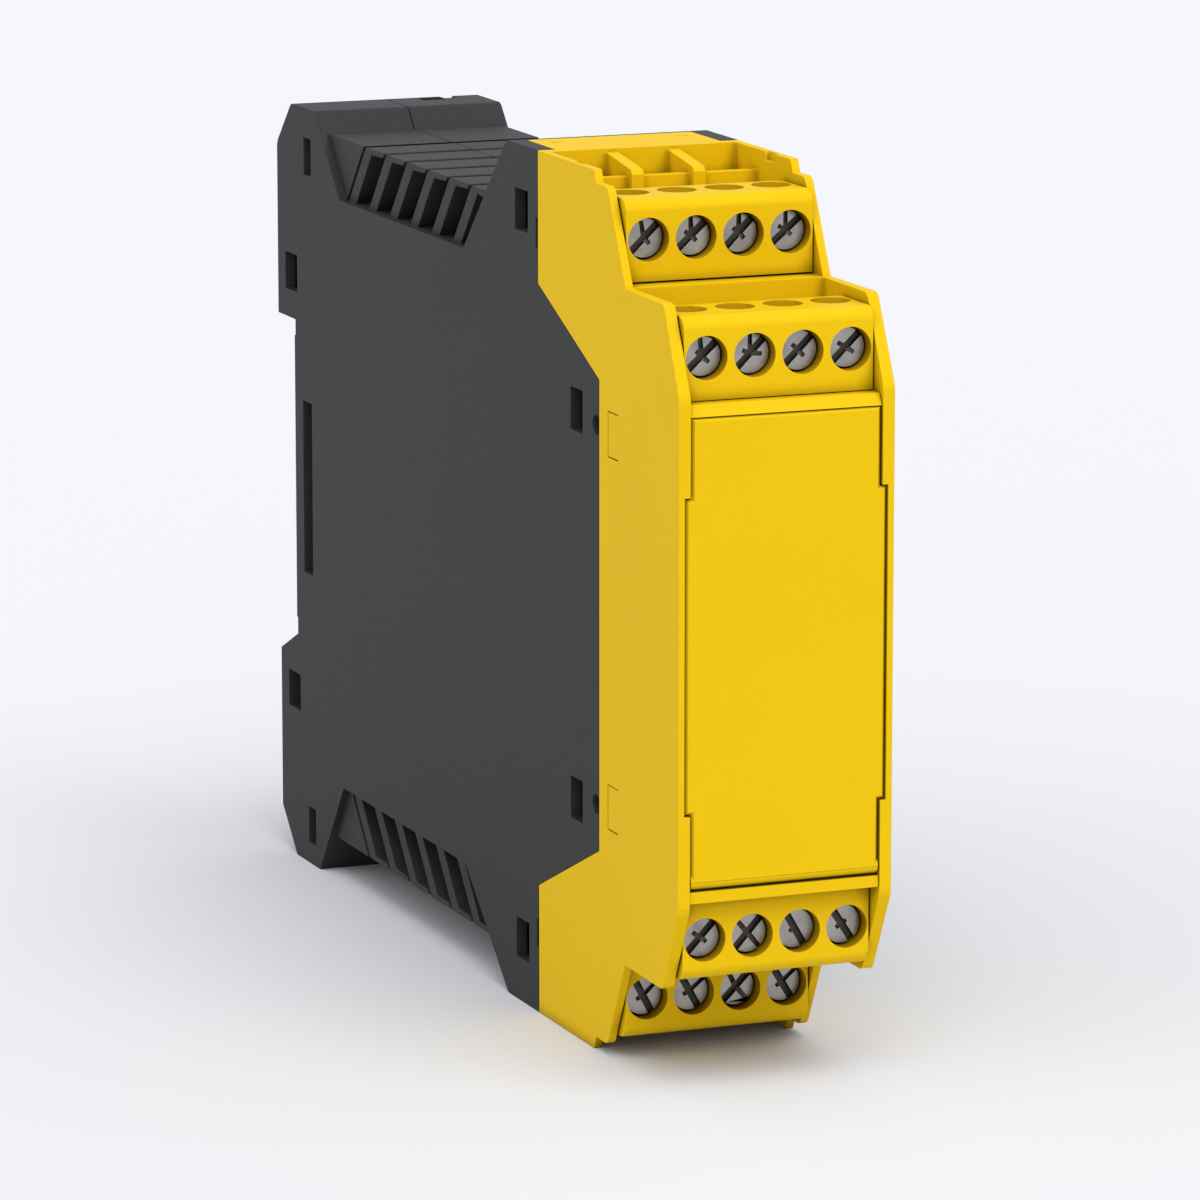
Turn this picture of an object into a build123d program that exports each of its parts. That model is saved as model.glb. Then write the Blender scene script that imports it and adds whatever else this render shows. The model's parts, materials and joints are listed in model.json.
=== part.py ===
from build123d import *
import os
from math import atan2, degrees

# Safety control module, in millimetres. X runs across the module, the front faces -Y and Z points up.
# The origin is the centre of the base. Depths are measured back from the front face, and heights from
# the middle of the front cover, which is half way up the front.

# Overall sizes
front_width = 22.5
body_width = 21.7
module_depth = 118.0
module_height = 88.6

# Walls and gaps
shell_wall = 1.2
rim_wall = 1.5
front_inner_width = 20.0
seam_gap = 0.1
fit_gap = 0.15
slide_gap = 0.2
running_gap = 0.05
overlap = 0.2

# Terminal plugs: every depth here is measured from the plug's own front face, and heights from its screws
plug_pitch = 5.0
pole_count = 4
plug_half_width = 9.85
plug_depth = 15.5
plug_below = 4.1
plug_above = 4.0
plug_bevel = 0.8
plug_top_depth = 7.5
plug_middle_height = 2.9
plug_middle_depth = 9.2
plug_rear_height = 1.7
fin_width = 0.5
fin_length = 3.8

# Terminal screws and clamps
well_radius = 2.15
well_depth = 2.45
head_radius = 1.95
head_recess = 1.3
head_thickness = 1.1
shank_radius = 1.25
shank_sides = 8
facet_count = 12
slot_width = 0.75
slot_depth = 0.7
clamp_width = 3.9
clamp_half_height = 1.8
clamp_wall = 0.7
clamp_length = 4.0
clamp_travel = 1.2
chamber_front = 2.95
chamber_width = 4.15
chamber_below = 2.35
chamber_above = 2.0
chamber_step = 8.7
fork_room = 1.1
bar_thickness = 0.45
bar_top_height = 1.7
contact_width = 2.3
contact_strip = 0.4
fork_start = 9.6
fork_end = 15.2
fork_leaf = 0.35
pin_size = 0.9
funnel_depth = 5.0
funnel_radius = 2.0
funnel_throat = 1.4
funnel_height = 1.0
wire_slot_width = 2.4
wire_slot_length = 2.5
screw_turns = (44, 42, 45, 40, 42, 45, 44, 44, 46, 48, 120, 123, 118, 119, 45, 121)

# Headers and pins
header_gap = 0.6
header_thickness = 3.0
header_half_width = 9.7
header_below = 2.6
header_above = 1.7
pin_reach = 5.3
tail_start = 1.4
tail_step = 1.5

# Heights of the side outline, each from the one above it
rim_rise = 1.3
tier_drop = 9.3
nose_drop = 8.6
joint_drop = 12.1
joint_rise = 7.2
rear_hump_drop = 4.0
vent_drop_above = 12.7
vent_drop_below = 10.9

# Depths of the side outline, each from the one in front of it
nose_edge_depth = 4.1
inner_plug_front = 2.2
step_depth = 14.7
outer_plug_setback = 2.3
outer_edge_setback = 4.7
rim_step_setback = 3.6
rim_step_run = 0.6
panel_setback = 14.4
pocket_length = 5.6
back_wall = 1.3
joint_middle_depth = 21.7
tongue_reach = 7.7
hump_rear_lip = 1.0
front_hump_slope = 12.5

# Depths at the rear, each forward from the rear edge
rear_chamfer = 4.8
rear_hump_length = 12.5
rear_hump_slope = 8.0
rail_recess_depth = 5.4
top_notch_across = 7.2
top_notch_width = 1.6
top_pocket_across = 4.9
top_pocket_width = 2.6
top_pocket_length = 2.0
top_cut_depth = 0.7

# Vents
rib_height = 6.5
rib_pitch = 6.4
rib_count = 6
rib_top_width = 5.7
rib_stem_width = 2.3
rib_head_height = 1.5
rib_head_edge = 0.5
rib_lean = 5.7
rib_recess = 0.8
vent_slot_width = 1.6
vent_slot_length = 6.0

# Rail recess for a 35 mm rail
rail_width = 35.0
rail_lip = 1.0
rail_gap = 0.3
seat_relief = 0.3
rail_centre_height = -1.2
rail_ramp = 2.6
hook_bite = 1.4
hook_half_width = 5.0

# Sliding rail foot
foot_half_width = 5.8
foot_flange = 1.2
foot_flange_thickness = 1.2
foot_flange_setback = 1.2
foot_flange_drop = 3.3
foot_flange_rise = 3.5
foot_bite = 1.5
foot_inset = 3.3
foot_nose_flat = 0.8
foot_nose_ramp = 3.2
foot_window_half = 2.1
foot_window_drop = 6.8
spring_gauge = 0.4
spring_width = 3.0
spring_wave_pitch = 3.0
spring_margin = 0.6
peg_height = 3.0
peg_setback = 1.0
release_bar = 1.2
release_slot = 1.6
release_end = 2.05

# Snap windows in the shell walls: width and height of each, and where its middle lies
window_front_inner = (3.2, 4.3)
window_front_outer = (3.6, 4.2)
window_rear = (2.3, 4.1)
window_rail = (3.9, 4.1)
wall_slot = (2.9, 19.2)
window_inner_setback = 6.0
window_inner_drop = 3.95
window_outer_setback = 4.5
window_outer_drop = 6.6
window_rear_inset = 10.05
window_rear_drop_above = 5.3
window_rear_drop_below = 4.4
window_rail_inset = 4.45
window_rail_rise = 5.15
window_rail_drop = 6.65
wall_slot_inset = 9.5
wall_slot_height = -1.8
edge_notch_radius = 1.0
edge_notch_setback = 0.7
edge_notch_drop = 4.6
edge_gap_drop = 8.3
edge_gap_length = 3.0
edge_gap_depth = 0.5

# Front housing
shelf_thickness = 1.0
tongue_half_width = 8.9
tongue_thickness = 0.8
pocket_wall = 1.0
pocket_clearance = 0.35
panel_drop = 2.1
pocket_pitch = 6.6
pocket_rib_width = 1.3
pocket_rib_reach = 1.3
pocket_rib_bevel = 0.5
dent_length = 1.3
dent_width = 0.5
dent_depth = 0.25
dent_across = 6.9
dent_setback = 2.6
scoop_length = 2.4
scoop_width = 0.45
scoop_drop = 0.9
scoop_setback = 3.2

# Front cover and its frame
cover_thickness = 1.5
cover_front = 0.1
cover_bevel = 0.3
cover_narrow_half = 9.85
cover_wide_half = 10.5
cover_wide_top = 15.35
cover_wide_bottom = -15.55
hinge_radius = 0.9
trunnion_radius = 0.6
trunnion_length = 0.8
frame_strip = 1.15
frame_front = 0.2
frame_strip_depth = 12.0
frame_plate_depth = 4.4
frame_plate_thickness = 1.4
frame_flange_end = 20.0
frame_flange_thickness = 0.9
frame_flange_drop = 1.65
snap_depth = 17.85
snap_drop = 4.45
snap_width = 2.9
snap_length = 4.6

# Circuit board and what it carries
board_face = -4.0
board_thickness = 1.6
board_front = 8.0
board_nose_half = 20.0
board_step = 21.8
board_rear_inset = 12.0
board_clearance = 0.5
tab_front = 37.0
tab_rear = 45.0
tab_clearance = 0.15
relay_length = 40.0
relay_width = 12.4
relay_height = 22.0
relay_inset = 10.0
relay_gap = 4.0
relay_case_radius = 0.8
capacitor_radius = 5.0
capacitor_length = 12.5
capacitor_round = 0.6
capacitor_depth = 38.0
capacitor_height = 14.0
chip_size = 10.0
chip_thickness = 1.4
chip_depths = (44.0, 70.0)

# Mode selector and indicator guides behind the cover
selector_height = 11.0
selector_radius = 3.0
selector_hole_gap = 0.2
selector_slot_margin = 0.5
selector_turn = 30
selector_base_size = 9.0
selector_base_depth = 6.0
selector_stem_radius = 1.0
selector_stem_length = 3.0
selector_clearance = 0.8
guide_radius = 1.0
guide_count = 4
guide_pitch = 4.0
guide_first_height = 0.0
guide_strip = 1.2

# Heights worked out from the values above
half_depth = module_depth / 2
half_height = module_height / 2
body_half = body_width / 2
front_half = front_width / 2
inner_half = front_inner_width / 2
outer_tier_height = half_height - rim_rise
inner_tier_height = outer_tier_height - tier_drop
nose_edge_height = inner_tier_height - nose_drop
joint_outer_height = outer_tier_height - joint_drop
joint_middle_height = joint_outer_height - joint_rise
outer_axis_height = outer_tier_height - plug_above - 1.0
inner_axis_height = inner_tier_height - shelf_thickness - plug_above - seam_gap
pocket_floor_height = outer_axis_height + plug_rear_height + pocket_clearance
cover_half_height = inner_axis_height - plug_below - frame_strip - 2 * seam_gap
hinge_height = hinge_radius - cover_half_height
snap_height = cover_half_height - snap_drop
window_inner_height = joint_middle_height - window_inner_drop
edge_notch_height = joint_middle_height - edge_notch_drop
rear_top = half_height - rear_hump_drop
vent_floor_above = half_height - vent_drop_above
vent_floor_below = half_height - vent_drop_below
rail_top = rail_centre_height + (rail_width + rail_gap) / 2
rail_bottom = rail_centre_height - (rail_width + rail_gap) / 2
hook_tip_height = rail_centre_height + rail_width / 2 - hook_bite
foot_nose_height = rail_centre_height - rail_width / 2 + foot_bite
seat_top = hook_tip_height - slide_gap
seat_bottom = foot_nose_height + slide_gap
foot_bottom_height = foot_inset - half_height
foot_flange_top = foot_nose_height - foot_flange_drop
foot_flange_length = foot_flange_top - foot_bottom_height - foot_flange_rise
spring_top_height = foot_nose_height - foot_window_drop
window_bottom_height = foot_bottom_height + release_end + release_slot + release_bar
peg_top_height = window_bottom_height + fit_gap + peg_height
spring_waves = round((spring_top_height - peg_top_height) / spring_wave_pitch)
board_half_height = min(vent_floor_above, vent_floor_below) - rim_wall - board_clearance
tab_half_height = pocket_floor_height - tab_clearance
guide_heights = [guide_first_height - number * guide_pitch for number in range(guide_count)]

# Depths worked out from the values above
hinge_depth = cover_front + hinge_radius
outer_plug_front = step_depth + outer_plug_setback
outer_edge_depth = step_depth + outer_edge_setback
rim_step_depth = outer_edge_depth + rim_step_setback
pocket_panel_depth = outer_plug_front + panel_setback
pocket_back_depth = pocket_panel_depth + pocket_length
joint_outer_depth = pocket_back_depth + back_wall
tongue_rear_depth = joint_outer_depth + tongue_reach
front_hump_back = tongue_rear_depth + hump_rear_lip
vent_front_depth = front_hump_back + front_hump_slope
rear_hump_front = module_depth - rear_hump_length
vent_rear_depth = rear_hump_front - rear_hump_slope
first_rib_depth = vent_rear_depth - rib_pitch
rail_seat_depth = module_depth - rail_recess_depth
relief_depth = rail_seat_depth - seat_relief
hook_depth = rail_seat_depth + rail_lip + slide_gap
foot_front_depth = hook_depth
foot_back_depth = module_depth - slide_gap
foot_flange_front = foot_front_depth + foot_flange_setback
channel_front = foot_front_depth - slide_gap
peg_end_depth = module_depth - peg_setback
chamber_rear = plug_depth + overlap
clamp_front = chamber_front + running_gap + clamp_travel
bar_depth = clamp_front + clamp_wall + seam_gap
board_rear = module_depth - board_rear_inset
relay_front = board_rear - relay_inset - relay_length
board_back = board_face - board_thickness
face_plane = Plane.YZ


# Middle depth, middle height, width and height of each opening in the grey side wall
shell_windows = [
    (joint_middle_depth + window_inner_setback, window_inner_height, *window_front_inner),
    (joint_middle_depth + window_inner_setback, -window_inner_height, *window_front_inner),
    (joint_outer_depth + window_outer_setback, half_height - window_outer_drop, *window_front_outer),
    (joint_outer_depth + window_outer_setback, window_outer_drop - half_height, *window_front_outer),
    (module_depth - window_rear_inset, rear_top - window_rear_drop_above, *window_rear),
    (module_depth - window_rear_inset, window_rear_drop_below - half_height, *window_rear),
    (module_depth - window_rail_inset, rail_top + window_rail_rise, *window_rail),
    (module_depth - window_rail_inset, rail_bottom - window_rail_drop, *window_rail),
    (module_depth - wall_slot_inset, wall_slot_height, *wall_slot),
]


def at(depth, height):
    """A point of the side outline in the module's own frame."""
    return (depth - half_depth, height + half_height)


def outline(points):
    """Side-view points given as depth and height."""
    return [at(depth, height) for depth, height in points]


def finish(name, label):
    """Names a finished piece and writes it."""
    name.part.label = label
    export_step(name.part, f"parts/{label}.step")


os.makedirs("parts", exist_ok=True)

front_points_above = [
    (0, nose_edge_height),
    (nose_edge_depth, inner_tier_height),
    (step_depth, inner_tier_height),
    (outer_edge_depth, outer_tier_height),
    (rim_step_depth - rim_step_run, outer_tier_height),
    (rim_step_depth, half_height),
    (joint_outer_depth, half_height),
]
rear_points = [
    (joint_outer_depth, half_height),
    (front_hump_back, half_height),
    (vent_front_depth, vent_floor_above),
    (vent_rear_depth, vent_floor_above),
    (rear_hump_front, rear_top),
    (module_depth - rear_chamfer, rear_top),
    (module_depth, rear_top - rear_chamfer),
    (module_depth, rail_top),
    (relief_depth, rail_top),
    (relief_depth, seat_top),
    (rail_seat_depth, seat_top),
    (rail_seat_depth, seat_bottom),
    (relief_depth, seat_bottom),
    (relief_depth, rail_bottom),
    (module_depth, rail_bottom - rail_ramp),
    (module_depth, rear_chamfer - half_height),
    (module_depth - rear_chamfer, -half_height),
    (rear_hump_front, -half_height),
    (vent_rear_depth, -vent_floor_below),
    (vent_front_depth, -vent_floor_below),
    (front_hump_back, -half_height),
    (joint_outer_depth, -half_height),
]
joint_below = [
    (joint_outer_depth, -joint_outer_height),
    (joint_middle_depth, -joint_middle_height),
]
joint_above = [
    (joint_middle_depth, joint_middle_height),
    (joint_outer_depth, joint_outer_height),
]
shell_points = rear_points + joint_below + joint_above
front_points_below = [(depth, -height) for depth, height in reversed(front_points_above)]
whole_points = front_points_above + rear_points[1:-1] + front_points_below
front_points = (
    front_points_above[:-1]
    + [(depth - seam_gap, height) for depth, height in [front_points_above[-1]] + joint_above[::-1]]
    + [(depth - seam_gap, height) for depth, height in joint_below[::-1] + [front_points_below[0]]]
    + front_points_below[1:]
)


def rib_profile(rear, floor, way):
    """Side view of one vent rib: a leaning stem under a flat head."""
    top = floor + rib_height
    under = top - rib_head_height
    stem_rear = rear + rib_lean
    stem_under = rear + rib_lean * rib_head_height / rib_height - rib_stem_width
    points = [
        (rear, top),
        (rear - rib_top_width, top),
        (rear - rib_top_width + rib_head_edge, under + rib_head_edge),
        (stem_under, under),
        (stem_rear - rib_stem_width, floor - overlap),
        (stem_rear, floor - overlap),
    ]
    return [(depth, way * height) for depth, height in points]


def ramp_profile(floor, hump_top, way):
    """Side view of the sloped block between the last rib and the rear hump."""
    top = floor + rib_height
    run = (rear_hump_front - vent_rear_depth) / (hump_top - floor)
    front = first_rib_depth + rib_pitch - rib_top_width
    points = [
        (front, top),
        (vent_rear_depth + run * rib_height + overlap, top),
        (vent_rear_depth + overlap, floor - overlap),
        (front + rib_lean, floor - overlap),
    ]
    return [(depth, way * height) for depth, height in points]


# Left half shell: side wall, rims, vent ribs, rail recess and the guide of the rail foot
with BuildPart() as left_shell:
    with BuildSketch(face_plane.offset(-body_half)):
        with BuildLine():
            Polyline(*outline(shell_points), close=True)
        make_face()
    extrude(amount=body_half - seam_gap / 2)
    with BuildSketch(face_plane.offset(shell_wall - body_half)):
        with BuildLine():
            Polyline(*outline(whole_points), close=True)
        make_face()
        offset(amount=-rim_wall, kind=Kind.INTERSECTION)
    extrude(amount=body_half, mode=Mode.SUBTRACT)
    # Vent ribs above and below
    rib_start = face_plane.offset(rib_recess - body_half)
    rib_length = body_half - rib_recess - seam_gap / 2
    for way, floor, hump_top in (
        (1, vent_floor_above, rear_top),
        (-1, vent_floor_below, half_height),
    ):
        rib_rears = [first_rib_depth - number * rib_pitch for number in range(rib_count)]
        profiles = [rib_profile(rear, floor, way) for rear in rib_rears]
        profiles.append(ramp_profile(floor, hump_top, way))
        for profile in profiles:
            with BuildSketch(rib_start):
                with BuildLine():
                    Polyline(*outline(profile), close=True)
                make_face()
            extrude(amount=rib_length)
        # Air slots through the vent floor between the stems
        slot_middle = rib_lean + (rib_pitch - rib_stem_width) / 2
        with BuildSketch(Plane.XY.offset(half_height + way * floor)):
            with Locations(*[(-body_half / 2, rear + slot_middle - half_depth) for rear in rib_rears[1:]]):
                Rectangle(vent_slot_length, vent_slot_width)
        extrude(amount=rim_wall + overlap, both=True, mode=Mode.SUBTRACT)
    # Solid guide for the rail foot
    with BuildSketch(face_plane.offset(shell_wall - body_half)):
        with BuildLine():
            Polyline(
                *outline(
                    [
                        (rail_seat_depth - rim_wall, rail_bottom),
                        (relief_depth, rail_bottom),
                        (module_depth, rail_bottom - rail_ramp),
                        (module_depth, rear_chamfer - half_height),
                        (module_depth - rear_chamfer, -half_height),
                        (rail_seat_depth - rim_wall, -half_height),
                    ]
                ),
                close=True,
            )
        make_face()
    extrude(amount=body_half - shell_wall - seam_gap / 2)
    with BuildSketch(face_plane):
        with Locations(at((channel_front + module_depth + overlap) / 2, (rail_bottom - half_height) / 2)):
            Rectangle(module_depth + overlap - channel_front, half_height + rail_bottom + 2 * overlap)
    extrude(amount=-(foot_half_width + slide_gap), mode=Mode.SUBTRACT)
    groove_front = foot_flange_front - fit_gap
    groove_thickness = foot_flange_thickness + 2 * fit_gap
    with BuildSketch(face_plane):
        with Locations(
            at(groove_front + groove_thickness / 2, (foot_flange_top + seam_gap - half_height - overlap) / 2)
        ):
            Rectangle(groove_thickness, foot_flange_top + seam_gap + half_height + overlap)
    extrude(amount=-(foot_half_width + foot_flange + fit_gap), mode=Mode.SUBTRACT)
    # Peg under the foot's spring
    with BuildSketch(face_plane.offset(-seam_gap / 2)):
        with Locations(at((channel_front - overlap + peg_end_depth) / 2, peg_top_height - peg_height / 2)):
            Rectangle(peg_end_depth - channel_front + overlap, peg_height)
    extrude(amount=-(foot_window_half - slide_gap))
    # Fixed hook over the rail's upper lip
    with BuildSketch(face_plane.offset(-seam_gap / 2)):
        with BuildLine():
            Polyline(
                *outline(
                    [
                        (hook_depth, rail_top + overlap),
                        (hook_depth, hook_tip_height),
                        (hook_depth + hook_bite, hook_tip_height),
                        (module_depth, rail_top),
                        (module_depth, rail_top + overlap),
                    ]
                ),
                close=True,
            )
        make_face()
    extrude(amount=-hook_half_width)
    # Snap windows and the long slot in the side wall
    with BuildSketch(face_plane.offset(-body_half)):
        for depth, height, width, length in shell_windows:
            with Locations(at(depth, height)):
                Rectangle(width, length)
    extrude(amount=2 * shell_wall, mode=Mode.SUBTRACT)
    # Half-round and square notches in the front edge of the side wall
    with BuildSketch(face_plane.offset(-body_half)):
        for way in (1, -1):
            with Locations(at(joint_middle_depth + edge_notch_setback, way * edge_notch_height)):
                Circle(edge_notch_radius)
            with Locations(at(joint_outer_depth, way * (half_height - edge_gap_drop))):
                Rectangle(2 * edge_gap_depth, edge_gap_length)
    extrude(amount=shell_wall, mode=Mode.SUBTRACT)
    # Recess under the yellow tongue
    with BuildSketch(Plane.YZ):
        for way in (1, -1):
            with Locations(
                at(
                    (joint_outer_depth + tongue_rear_depth + seam_gap) / 2,
                    way * (half_height - tongue_thickness / 2),
                )
            ):
                Rectangle(tongue_rear_depth + seam_gap - joint_outer_depth, tongue_thickness + seam_gap)
    extrude(amount=-(tongue_half_width + seam_gap), mode=Mode.SUBTRACT)
finish(left_shell, "left_shell")

# Right half shell: the mirror image, with a notch and a small pocket in the top of its rear hump
with BuildPart() as right_shell:
    add(left_shell.part)
    mirror(about=Plane.YZ, mode=Mode.REPLACE)
    hump_back = module_depth - rear_chamfer
    with BuildSketch(Plane.XY.offset(half_height + rear_top)):
        with Locations((top_notch_across, hump_back - half_depth)):
            Rectangle(top_notch_width, 2 * top_pocket_length)
        with Locations((top_pocket_across, hump_back - top_pocket_length - half_depth)):
            Rectangle(top_pocket_width, top_pocket_length)
    extrude(amount=-top_cut_depth, mode=Mode.SUBTRACT)
finish(right_shell, "right_shell")

# Flare of the front side walls ahead of the crease
flare_points = [
    (0, nose_edge_height),
    (nose_edge_depth, inner_tier_height),
    (step_depth, inner_tier_height),
    (joint_middle_depth - seam_gap, joint_middle_height),
]
flare_points += [(depth, -height) for depth, height in reversed(flare_points)]
with BuildPart() as flare:
    with BuildSketch(face_plane.offset(body_half)):
        with BuildLine():
            Polyline(*outline(flare_points), close=True)
        make_face()
    extrude(amount=front_half - body_half)
    with BuildSketch(Plane.XY):
        with BuildLine():
            Polyline(
                (body_half, -half_depth),
                (front_half, -half_depth),
                (body_half, joint_middle_depth - seam_gap - half_depth),
                close=True,
            )
        make_face()
    extrude(amount=module_height, mode=Mode.INTERSECT)

# Front housing: side walls, terminal shelves, back pockets and the tongues over the shells
with BuildPart() as front_housing:
    for side in (-1, 1):
        with BuildSketch(face_plane.offset(side * inner_half)):
            with BuildLine():
                Polyline(*outline(front_points), close=True)
            make_face()
        extrude(amount=side * (body_half - inner_half))
    add(flare.part)
    mirror(flare.part, about=Plane.YZ)
    back_depth = joint_outer_depth - seam_gap
    for way in (1, -1):
        roof = [
            (pocket_panel_depth, pocket_floor_height),
            (back_depth, pocket_floor_height),
            (back_depth, half_height),
            (pocket_back_depth, half_height),
            (pocket_back_depth, pocket_floor_height + pocket_wall),
            (pocket_panel_depth + pocket_wall, pocket_floor_height + pocket_wall),
            (pocket_panel_depth + pocket_wall, half_height - panel_drop),
            (pocket_panel_depth, half_height - panel_drop),
        ]
        web_foot = inner_axis_height + plug_rear_height + seam_gap
        shelf = [
            (step_depth, inner_tier_height),
            (pocket_panel_depth, inner_tier_height),
            (pocket_panel_depth, inner_tier_height - shelf_thickness),
            (step_depth + shelf_thickness, inner_tier_height - shelf_thickness),
            (step_depth + shelf_thickness, web_foot),
            (step_depth, web_foot),
        ]
        for profile in (roof, shelf):
            with BuildSketch(face_plane.offset(-inner_half)):
                with BuildLine():
                    Polyline(*outline([(depth, way * height) for depth, height in profile]), close=True)
                make_face()
            extrude(amount=front_inner_width)
        # Ribs between the three pockets
        rib_front = pocket_panel_depth - pocket_rib_reach
        rib = [
            (rib_front, pocket_floor_height),
            (rib_front, outer_tier_height - pocket_rib_bevel),
            (rib_front + pocket_rib_bevel, outer_tier_height),
            (pocket_back_depth, half_height - tongue_thickness / 2),
            (back_depth, pocket_floor_height),
        ]
        for across in (-pocket_pitch / 2, pocket_pitch / 2):
            with BuildSketch(face_plane.offset(across - pocket_rib_width / 2)):
                with BuildLine():
                    Polyline(*outline([(depth, way * height) for depth, height in rib]), close=True)
                make_face()
            extrude(amount=pocket_rib_width)
        # Tongue over the grey shells
        with BuildSketch(face_plane.offset(-tongue_half_width)):
            with Locations(
                at((pocket_back_depth + tongue_rear_depth) / 2, way * (half_height - tongue_thickness / 2))
            ):
                Rectangle(tongue_rear_depth - pocket_back_depth, tongue_thickness)
        extrude(amount=2 * tongue_half_width)
        # Two small dents in the tongue, and a scoop in each wall's inner top edge
        with BuildSketch(Plane.XY.offset(half_height + way * half_height)):
            for across in (-dent_across, dent_across):
                with Locations((across, tongue_rear_depth - dent_setback - half_depth)):
                    Rectangle(dent_length, dent_width)
        extrude(amount=-way * dent_depth, mode=Mode.SUBTRACT)
        with BuildSketch(Plane.XY.offset(half_height + way * half_height)):
            for side in (-1, 1):
                with Locations((side * inner_half, pocket_panel_depth - scoop_setback - half_depth)):
                    Rectangle(2 * scoop_width, scoop_length)
        extrude(amount=-way * scoop_drop, mode=Mode.SUBTRACT)
    # Recess for the wide middle of the cover
    recess_depth = cover_front + cover_thickness + seam_gap
    with BuildSketch(face_plane.offset(-(cover_wide_half + seam_gap))):
        with Locations(at(recess_depth / 2, (cover_wide_top + cover_wide_bottom) / 2)):
            Rectangle(recess_depth + running_gap, cover_wide_top - cover_wide_bottom + 2 * fit_gap)
    extrude(amount=2 * (cover_wide_half + seam_gap), mode=Mode.SUBTRACT)
    # Blind holes for the cover's trunnions
    with BuildSketch(face_plane.offset(-(cover_narrow_half + trunnion_length + running_gap))):
        with Locations(at(hinge_depth, hinge_height)):
            Circle(trunnion_radius + running_gap)
    extrude(amount=2 * (cover_narrow_half + trunnion_length + running_gap), mode=Mode.SUBTRACT)
    # Windows for the snap lugs of the cover frame
    with BuildSketch(face_plane.offset(-front_half)):
        with Locations(at(snap_depth, snap_height), at(snap_depth, -snap_height)):
            Rectangle(snap_width, snap_length)
    extrude(amount=front_width, mode=Mode.SUBTRACT)
finish(front_housing, "front_housing")

# Cover frame: strips above and below the cover, the plate behind it and side flanges with snap lugs
with BuildPart() as cover_frame:
    frame_half = inner_half - seam_gap / 2
    strip_start = cover_half_height + seam_gap
    frame_profile = [
        (frame_front, strip_start + frame_strip),
        (frame_strip_depth, strip_start + frame_strip),
        (frame_strip_depth, strip_start),
        (frame_plate_depth + frame_plate_thickness, strip_start),
    ]
    frame_inside = [(frame_plate_depth, strip_start), (frame_front, strip_start)]
    frame_points = frame_profile + [(depth, -height) for depth, height in reversed(frame_profile)]
    frame_points += [(depth, -height) for depth, height in reversed(frame_inside)] + frame_inside
    with BuildSketch(face_plane.offset(-frame_half)):
        with BuildLine():
            Polyline(*outline(frame_points), close=True)
        make_face()
    extrude(amount=2 * frame_half)
    for side in (-1, 1):
        with BuildSketch(face_plane.offset(side * (frame_half - frame_flange_thickness))):
            with Locations(at((frame_plate_depth + frame_flange_end) / 2, 0)):
                Rectangle(frame_flange_end - frame_plate_depth, 2 * (cover_half_height - frame_flange_drop))
        extrude(amount=side * frame_flange_thickness)
        with BuildSketch(face_plane.offset(side * frame_half)):
            with Locations(at(snap_depth, snap_height), at(snap_depth, -snap_height)):
                Rectangle(snap_width - 2 * seam_gap, snap_length - 2 * seam_gap)
        extrude(amount=side * (body_half - frame_half))
    # Openings for the selector and the indicator guides
    with BuildSketch(Plane.XZ.offset(half_depth - frame_plate_depth)):
        with Locations((0, half_height + selector_height)):
            Circle(selector_radius + selector_hole_gap)
        with Locations(*[(0, half_height + height) for height in guide_heights]):
            Circle(guide_radius + running_gap)
    extrude(amount=-frame_plate_thickness, mode=Mode.SUBTRACT)
finish(cover_frame, "cover_frame")

# Front cover: a plate with a wide middle, a rounded hinge edge and two trunnions
with BuildPart() as front_cover:
    with BuildSketch(Plane.XZ.offset(half_depth - cover_front - cover_thickness)):
        with Locations((0, half_height + (cover_half_height + hinge_height) / 2)):
            Rectangle(2 * cover_narrow_half, cover_half_height - hinge_height)
        with Locations((0, half_height + (cover_wide_top + cover_wide_bottom) / 2)):
            Rectangle(2 * cover_wide_half, cover_wide_top - cover_wide_bottom)
    extrude(amount=cover_thickness)
    cover_rim = faces().sort_by(Axis.Y)[0].edges()
    chamfer(cover_rim.filter_by_position(Axis.Z, half_height + hinge_height + 0.1, module_height), cover_bevel)
    with BuildSketch(face_plane.offset(-cover_narrow_half)):
        with Locations(at(hinge_depth, hinge_height)):
            Circle(hinge_radius)
    extrude(amount=2 * cover_narrow_half)
    with BuildSketch(face_plane.offset(-(cover_narrow_half + trunnion_length))):
        with Locations(at(hinge_depth, hinge_height)):
            Circle(trunnion_radius)
    extrude(amount=2 * (cover_narrow_half + trunnion_length))
finish(front_cover, "front_cover")


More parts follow.
